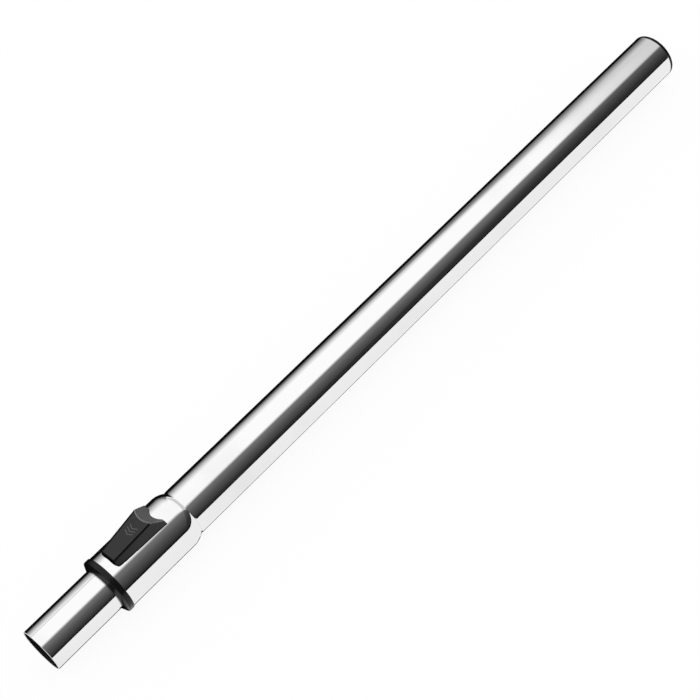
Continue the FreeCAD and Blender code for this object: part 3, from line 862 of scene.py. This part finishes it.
def face_distances(x, y, z):
    """Distances outside the top, flank, thumb face, front and ears.

    Each is (z - the face's height) over the length of (slope, 1). The thumb face is a leaning round hollow:
    its mid-line rises 1 per SCOOP_LEAN, and it climbs towards both sides by R - sqrt(R^2 - y^2) square to
    itself. Its grip runs out just above the collar.
    """
    base_half, top_half, top_z = button_section(x)
    steep = (top_z - button_base) / (base_half - top_half)
    top_slope = (BACK_RISE - FRONT_RISE) / button_length
    flank_z = button_base + (base_half - np.abs(y)) * steep
    slant = np.hypot(1, SCOOP_LEAN)
    hollow = SCOOP_RADIUS - np.sqrt(SCOOP_RADIUS**2 - y**2)
    thumb_z = collar_r + (x - button_back - SCOOP_BACK + hollow * slant) / SCOOP_LEAN
    grip_share = np.clip((thumb_z - saddle_height(y)) / GRIP_RUN_OUT - GRIP_SKIP, 0, 1)
    thumb_z = thumb_z + scoop_grip(x, y) * grip_share * slant / SCOOP_LEAN
    front_z = button_base + (button_front - x) / END_DRAFT
    ear_z = button_base + (x - button_back) / END_DRAFT
    end_length = np.hypot(1, 1 / END_DRAFT)
    return (
        (z - top_z) / np.hypot(1, top_slope),
        (z - flank_z) / np.hypot(1, steep),
        (z - thumb_z) * SCOOP_LEAN / slant,
        (z - front_z) / end_length,
        (z - ear_z) / end_length,
    )


def channel_distance(top, flank):
    """Distance from the middle of the channel in the top face, which runs a little inside each flank."""
    return np.hypot(top, flank + CHANNEL_INSET)


def outside_button(x, y, z):
    """How far a point lies outside the button: the soft greatest of its distances from the faces.

    The front is rounded more than the other edges. A small round channel runs along both sides of the top
    face, and is cut out of the result.
    """
    top, flank, thumb, front, ear = face_distances(x, y, z)
    result = -soft_min(-top, -front, FRONT_ROUND)
    for other in (-soft_min(-flank, -front, CORNER_ROUND), thumb, ear):
        result = -soft_min(-result, -other, EDGE_ROUND)
    return np.maximum(result, EDGE_CHANNEL - channel_distance(top, flank))


def button_tones(x, y, z):
    """Tones on the skin: painted shade in the channel, along the front lip and at the foot, and painted
    highlights on the thumb face's rim and grip.
    """
    top, flank, thumb, front, ear = face_distances(x, y, z)
    # Painted shade in the channel, along the front lip and at the foot, where the button meets the collar.
    channel = np.exp(-((channel_distance(top, flank) / (CHANNEL_SPREAD * EDGE_CHANNEL)) ** 4))
    channel = np.maximum(channel, np.exp(-((front / LIP_WIDTH) ** 4)))
    channel = np.maximum(channel, np.exp(-(((z - saddle_height(y)) / FOOT_HEIGHT) ** 4)))
    # Painted highlight along the thumb face's rim, and over the face itself, lightest on the pyramids'
    # tips.
    rim = np.exp(-(((thumb - np.maximum(top, flank)) / HIGHLIGHT_WIDTH) ** 2))
    on_thumb = np.clip((thumb - np.maximum(np.maximum(top, flank), ear)) / HIGHLIGHT_WIDTH, 0, 1)
    raised = 0.5 + 0.5 * scoop_grip(x, y) / GRIP_DEPTH
    grip = on_thumb * (LEAST_GRIP_HIGHLIGHT + (1 - LEAST_GRIP_HIGHLIGHT) * raised)
    return (("channel", channel), ("painted_rim_highlight", rim), ("painted_grip_highlight", grip))


def to_edges(places, inside, low, high, axis):
    """Move the last grid places inside a stretch to its ends, and the first outside to just beyond."""
    before, after = np.roll(inside, 1, axis), np.roll(inside, -1, axis)
    places = np.where(inside & ~before, low, places)
    places = np.where(inside & ~after, high, places)
    places = np.where(~inside & after, low - POCKET_WALL_DRAFT, places)
    return np.where(~inside & before, high + POCKET_WALL_DRAFT, places)


def button_underside(x, y):
    """The saddle over the collar, raised to a flat roof over the pocket of the lock slide and pin."""
    along = (x > pocket_back) & (x < pocket_front)
    across = np.abs(y) < pocket_half
    near = (x > pocket_back - POCKET_MARGIN_ALONG) & (x < pocket_front + POCKET_MARGIN_ALONG)
    beside = np.abs(y) < pocket_half + POCKET_MARGIN_ACROSS
    x = to_edges(x, along & beside, pocket_back, pocket_front, 0)
    y = to_edges(y, across & near, -pocket_half, pocket_half, 1)
    in_pocket = (x >= pocket_back) & (x <= pocket_front) & (np.abs(y) <= pocket_half)
    return np.stack([x, y, np.where(in_pocket, pocket_top, saddle_height(y))], axis=-1)


def thumb_button():
    """A closed shell between the button's upper surface and its underside.

    The grid runs along x and across each section: up the flank, over the top and down again. The height is
    found by halving, as the place where the distance outside the button is nought. Faces where the two
    surfaces meet are left out.
    """
    rear_end, thumb_end = button_back + REAR_END, button_back + THUMB_END
    front_start = button_front - FRONT_LENGTH
    x = np.concatenate(
        [
            np.linspace(button_back, rear_end, REAR_ROWS + 1)[:-1],
            np.linspace(rear_end, thumb_end, THUMB_ROWS + 1)[:-1],
            np.linspace(thumb_end, front_start, TOP_ROWS + 1)[:-1],
            np.linspace(front_start, button_front, FRONT_ROWS),
        ]
    )[:, None]
    base_half, top_half, _ = button_section(x)
    flank = np.linspace(0, 1, FLANK_COLUMNS + 1)[:-1]
    edge = np.linspace(0, 1, RIM_COLUMNS + 1)[:-1]
    across = np.linspace(-1, 1, TOP_COLUMNS)
    left = -(base_half + (top_half - base_half) * flank)
    left_edge = -(top_half - RIM_WIDTH * edge)
    middle = (top_half - RIM_WIDTH) * across
    y = np.concatenate([left, left_edge, middle, -left_edge[:, ::-1], -left[:, ::-1]], axis=1)
    x = x + 0 * y
    saddle = saddle_height(y)
    low, high = saddle.copy(), np.full_like(saddle, 2 * collar_r)
    for _ in range(HALVINGS):
        half_way = (low + high) / 2
        inside = outside_button(x, y, half_way) < 0
        low = np.where(inside, half_way, low)
        high = np.where(inside, high, half_way)
    raised = low - saddle > MEETING_HEIGHT
    low = np.where(raised, low, saddle)
    above = np.stack([x, y, low], axis=-1)
    below = button_underside(x, y)
    faces = grid_faces(*x.shape)
    raised = raised.ravel()[faces].any(axis=-1)
    faces = np.concatenate([faces[raised], faces[raised][:, ::-1] + x.size])
    tones = [(name, np.stack([tone, 0 * tone])) for name, tone in button_tones(x, y, low)]
    return add_piece(
        "wedge_button",
        np.stack([above, below]),
        faces,
        [black_button],
        "button_assembly",
        ["thumb_button"],
        tones=tones,
    )


thumb_button()

CHEVRON_PLACES = (544.4, 542.1, 539.8)
CHEVRON_HALF = 3.8
CHEVRON_LEAN = 0.45
CHEVRON_WIDTH = 0.32
CHEVRON_RISE = 0.10
CHEVRON_ROWS, CHEVRON_COLUMNS = 41, 9


def chevrons():
    """Three raised direction marks on the button's top, each pointing to the tool end.

    A mark's centre line is x = place - lean * |y|, and its section is a low round rib across x that stands
    on the sloping top.
    """
    along = np.linspace(-CHEVRON_HALF, CHEVRON_HALF, CHEVRON_ROWS)[None, :, None]
    across = np.linspace(-1, 1, CHEVRON_COLUMNS)[None, None, :]
    places = np.array(CHEVRON_PLACES)[:, None, None]
    x = places - CHEVRON_LEAN * np.abs(along) + across * CHEVRON_WIDTH * np.hypot(1, CHEVRON_LEAN)
    y = along + 0 * x
    ends = np.clip((CHEVRON_HALF - np.abs(along)) / CHEVRON_WIDTH, 0, 1)
    rib = np.sqrt(1 - across**2) * np.sqrt(1 - (1 - ends) ** 2)
    z = button_section(x)[2] - CHEVRON_RISE + 2 * CHEVRON_RISE * rib
    upper = np.stack([x, y, z], axis=-1)
    lower = np.stack([x, y, button_section(x)[2] - CHEVRON_RISE + 0 * y], axis=-1)
    count, rows, columns = x.shape
    faces = grid_faces(rows, columns).reshape(-1, 4)
    size = rows * columns
    every = faces[None] + size * np.arange(count)[:, None, None]
    faces = np.concatenate([every.reshape(-1, 4), every.reshape(-1, 4)[:, ::-1] + size * count])
    return add_piece(
        "button_chevrons",
        np.stack([upper, lower]),
        faces,
        [chevron_grey],
        "button_assembly",
    )


chevrons()


# Finishes of the pieces held inside, which keep their own meshes

guide_plastic = plastic(
    "guide_plastic",
    colour=(0.55, 0.55, 0.53, 1.0),
    marked=(0.48, 0.48, 0.46, 1.0),
    scale=900.0, low=0.38, high=0.55, strength=0.1, specular=0.5,
)
seal_rubber = plastic(
    "seal_rubber",
    colour=(0.03, 0.03, 0.03, 1.0),
    marked=(0.045, 0.045, 0.045, 1.0),
    scale=1200.0, low=0.6, high=0.8, strength=0.2, specular=0.4,
)


def ground_steel():
    """Ground steel: fine lines in roughness and height over a plain grey metal."""
    material, tree, shader = new_material("ground_steel", Metallic=1.0)
    lines = use_group(tree, polishing_lines, Scale=2500.0, Length=8.0)
    marks = use_group(
        tree,
        handling_marks,
        Scale=120.0,
        Clean_Colour=(0.55, 0.55, 0.56, 1.0),
        Marked_Colour=(0.45, 0.45, 0.46, 1.0),
    )
    tree.links.new(marks.outputs["Colour"], shader.inputs["Base Color"])
    rough = math_node(tree, "MULTIPLY_ADD", lines.outputs["Mask"], 0.15, 0.22)
    tree.links.new(rough, shader.inputs["Roughness"])
    add_bump(tree, shader, lines.outputs["Height"], strength=0.1, distance=LINE_HEIGHT * MM)
    return material


steel = ground_steel()
for node, material in (
    ("guide_sleeve", guide_plastic),
    ("glide_ring", guide_plastic),
    ("lock_slide", guide_plastic),
    ("wiper_seal", seal_rubber),
    ("lock_pin", steel),
):
    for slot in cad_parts[node].material_slots:
        slot.material = material

SPRING_TURNS = 4
SPRING_WIRE = 0.45
STEPS_A_TURN = 40
WIRE_SIDES = 14


def return_spring():
    """Round wire wound about the spring's own axis, which shortens as the button is pushed.

    The wire's middle goes round at a fixed radius while x runs evenly from end to end. Its section is a
    circle in x and the radius, which shrinks to a point at both ends.
    """
    start, end = node_ends("return_spring")
    low_z, high_z = node_ends("return_spring", 2)
    axis_z = (low_z + high_z) / 2
    wire_r = SPRING_WIRE / 2
    coil_r = (high_z - low_z) / 2 - wire_r
    share = np.linspace(0, 1, SPRING_TURNS * STEPS_A_TURN + 1)
    share = np.concatenate([[0], share, [1]])[:, None]
    thick = np.full_like(share, wire_r)
    thick[[0, -1]] = 0
    around = np.linspace(0, FULL_TURN, WIRE_SIDES, endpoint=False)
    angle = FULL_TURN * SPRING_TURNS * share
    x = start + wire_r + (end - start - SPRING_WIRE) * share + thick * np.cos(around)
    r = coil_r + thick * np.sin(around)
    points = np.stack([x, -r * np.sin(angle), axis_z + r * np.cos(angle)], axis=-1)
    faces = grid_faces(*x.shape, False, True)
    spring = add_piece(
        "coil_spring", points, faces, [steel], "outer_assembly", ["return_spring"]
    )
    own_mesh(spring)
    return spring


return_spring()


# Floor, studio and camera

# Places and reaches of the stage are in metres
FLOOR_REACH = 3.0
FLOOR_GLOW = 0.92
floor_z = cad_box[0][2]


def plane(name, low, high, z):
    """A level four-cornered sheet between two corners, in metres."""
    corners = [(low[0], low[1], z), (high[0], low[1], z), (high[0], high[1], z), (low[0], high[1], z)]
    mesh = bpy.data.meshes.new(name)
    mesh.from_pydata(corners, [], [(0, 1, 2, 3)])
    sheet = bpy.data.objects.new(name, mesh)
    scene.collection.objects.link(sheet)
    return sheet


def floor_material():
    """White floor that looks white to the camera and in reflections, and still takes part of the shadow."""
    material, tree, surface = bare_material("pale_floor")
    path = tree.nodes.new("ShaderNodeLightPath")
    diffuse = add_node(tree, "ShaderNodeBsdfDiffuse", Color=(0.95, 0.95, 0.95, 1.0))
    glow = add_node(tree, "ShaderNodeEmission", Color=(1.0, 1.0, 1.0, 1.0), Strength=1.0)
    seen = math_node(tree, "MAXIMUM", path.outputs["Is Camera Ray"], path.outputs["Is Glossy Ray"])
    seen = math_node(tree, "MAXIMUM", seen, path.outputs["Is Transmission Ray"])
    share = math_node(tree, "MULTIPLY", seen, FLOOR_GLOW)
    shown = mix_shaders(tree, share, diffuse.outputs["BSDF"], glow.outputs["Emission"])
    tree.links.new(shown, surface)
    return material


floor = plane("floor", (-FLOOR_REACH, -FLOOR_REACH), (FLOOR_REACH, FLOOR_REACH), floor_z)
floor.data.materials.append(floor_material())


CARD_BLACK = (0.004, 0.004, 0.004, 1.0)
CARD_LIFT = 0.2 * MM
card_black = new_material("black_card", Base_Color=CARD_BLACK, Roughness=1.0, Specular_IOR_Level=0.0)[0]


def reflected_only(sheet):
    """Let a sheet show in reflections and nowhere else."""
    sheet.visible_camera = False
    sheet.visible_diffuse = False
    sheet.visible_shadow = False
    sheet.visible_transmission = False


def black_card(name, start_x, end_x, start_y, end_y):
    """A card on the floor along the wand that shows only in reflections, as a dark stripe on the chrome."""
    card = plane(name, (start_x, start_y), (end_x, end_y), floor_z + CARD_LIFT)
    card.data.materials.append(card_black)
    reflected_only(card)


# The cards behind reach as far under each tube as draws a thin dark line along its lower side: a painted
# reflection of the tube's shadow on the floor, which the glowing floor mostly leaves out of reflections.
UNDER_TUBE = 0.0129
UNDER_COLLAR = 0.0160
UNDER_SPIGOT = 0.0125
FRONT_CARD_START = 0.28

black_card("card_behind_tube", -FLOOR_REACH, groove_start * MM, -FLOOR_REACH, UNDER_TUBE)
black_card("card_behind_collar", groove_start * MM, nose_end * MM, -FLOOR_REACH, UNDER_COLLAR)
black_card("card_behind_spigot", nose_end * MM, FLOOR_REACH, -FLOOR_REACH, UNDER_SPIGOT)
black_card("card_in_front", -FLOOR_REACH, FLOOR_REACH, FRONT_CARD_START, FLOOR_REACH)

# A thin dark cloth over the handle end, which dims the light seen through it more and more towards -x
CLOTH_HEIGHT = 0.35
CLOTH_START = -0.05
CLOTH_FULL = -0.25
CLOTH_LETS_BY = 0.64


def cloth_material():
    """Clear at the cloth's near end, and letting by a share of the light from its full part on."""
    material, tree, surface = bare_material("thin_cloth")
    parts = place_parts(tree)
    clear = tree.nodes.new("ShaderNodeBsdfTransparent")
    share = range_node(tree, parts["X"], CLOTH_FULL, CLOTH_START, CLOTH_LETS_BY, 1.0)
    tree.links.new(share, clear.inputs["Color"])
    tree.links.new(clear.outputs["BSDF"], surface)
    return material


cloth = plane("cloth_over_handle", (-FLOOR_REACH, -FLOOR_REACH), (CLOTH_START, FLOOR_REACH), CLOTH_HEIGHT)
cloth.data.materials.append(cloth_material())
reflected_only(cloth)

# Brightness of the studio in reflections, by the angle from straight up towards +y, in degrees: one wide
# soft light overhead, an even fall-off behind and a dark room on the near side
LIGHT_LEVEL = 1.15
NEAR_SIDE = ((20, LIGHT_LEVEL), (30, 0.2), (55, 0.1), (90, 0.02))
STUDIO = ((-105, 0.01), (-85, 0.2), (-45, LIGHT_LEVEL)) + NEAR_SIDE
# Past the handle, by the x of the reflected way, a white wall takes the place of the fall-off behind
PAST_HANDLE = ((-180, LIGHT_LEVEL),) + NEAR_SIDE
WALL_FULL = -0.62
WALL_START = -0.58
# Strength of the even light on matt surfaces
EVEN_LIGHT = 1.05


def studio_world():
    """White to the camera, an even light on matt surfaces, and a soft studio in reflections.

    A reflected way is told by its angle about x and by its x. Past the handle a white wall closes the room.
    """
    world = bpy.data.worlds.new("studio")
    scene.world = world
    world.use_nodes = True
    tree = world.node_tree
    tree.nodes.clear()
    path = tree.nodes.new("ShaderNodeLightPath")
    parts = place_parts(tree, "Generated")
    angle = math_node(tree, "ARCTAN2", parts["Y"], parts["Z"])
    turn = math_node(tree, "MULTIPLY_ADD", angle, 1 / FULL_TURN, 0.5)

    def stripe(levels):
        ramp = tree.nodes.new("ShaderNodeValToRGB")
        tree.links.new(turn, ramp.inputs["Fac"])
        marks = ramp.color_ramp.elements
        marks.remove(marks[-1])
        for number, (degrees, level) in enumerate(levels):
            mark = marks[0] if number == 0 else marks.new(1.0)
            mark.position = degrees / 360 + 0.5
            mark.color = (level, level, level, 1.0)
        return ramp.outputs["Color"]

    past_handle = range_node(tree, parts["X"], WALL_FULL, WALL_START, 1.0, 0.0)
    colour = mix_colours(tree, past_handle, stripe(STUDIO), stripe(PAST_HANDLE))
    reflected = tree.nodes.new("ShaderNodeBackground")
    tree.links.new(colour, reflected.inputs["Color"])
    even = add_node(tree, "ShaderNodeBackground", Color=(1.0, 1.0, 1.0, 1.0), Strength=EVEN_LIGHT)
    white = add_node(tree, "ShaderNodeBackground", Color=(1.0, 1.0, 1.0, 1.0), Strength=1.0)
    lit = mix_shaders(
        tree, path.outputs["Is Glossy Ray"], even.outputs["Background"], reflected.outputs["Background"]
    )
    shown = mix_shaders(tree, path.outputs["Is Camera Ray"], lit, white.outputs["Background"])
    out = tree.nodes.new("ShaderNodeOutputWorld")
    tree.links.new(shown, out.inputs["Surface"])


studio_world()

# The camera is placed by what it sees: the tool end's centre and the handle mouth's centre in its own
# frame (right, up, towards the viewer; metres), and how far the wand is turned about its axis
TIP_IN_VIEW = np.array([-0.1927, -0.1878, -1.0300])
MOUTH_IN_VIEW = np.array([0.2300, 0.2232, -1.2519])
BUTTON_TURN = np.radians(36.0)
LENS = 84.9
SENSOR = 36.0


def add_camera():
    """Turn the two seen points and the button's direction into the camera's own place and turn."""
    along = TIP_IN_VIEW - MOUTH_IN_VIEW
    along /= np.linalg.norm(along)
    to_viewer = np.array([0.0, 0.0, 1.0])
    facing = to_viewer - along * along[2]
    facing /= np.linalg.norm(facing)
    upper_left = np.cross(along, facing)
    upper_left *= np.sign(upper_left[1])
    up = np.cos(BUTTON_TURN) * facing + np.sin(BUTTON_TURN) * upper_left
    side = np.cross(up, along)
    turn = np.stack([along, side, up])
    data = bpy.data.cameras.new("camera")
    data.lens = LENS
    data.sensor_width = SENSOR
    data.sensor_height = SENSOR
    data.sensor_fit = "HORIZONTAL"
    camera = bpy.data.objects.new("camera", data)
    scene.collection.objects.link(camera)
    matrix = np.eye(4)
    matrix[:3, :3] = turn
    matrix[:3, 3] = -turn @ MOUTH_IN_VIEW
    camera.matrix_world = Matrix(matrix.tolist())
    scene.camera = camera


add_camera()
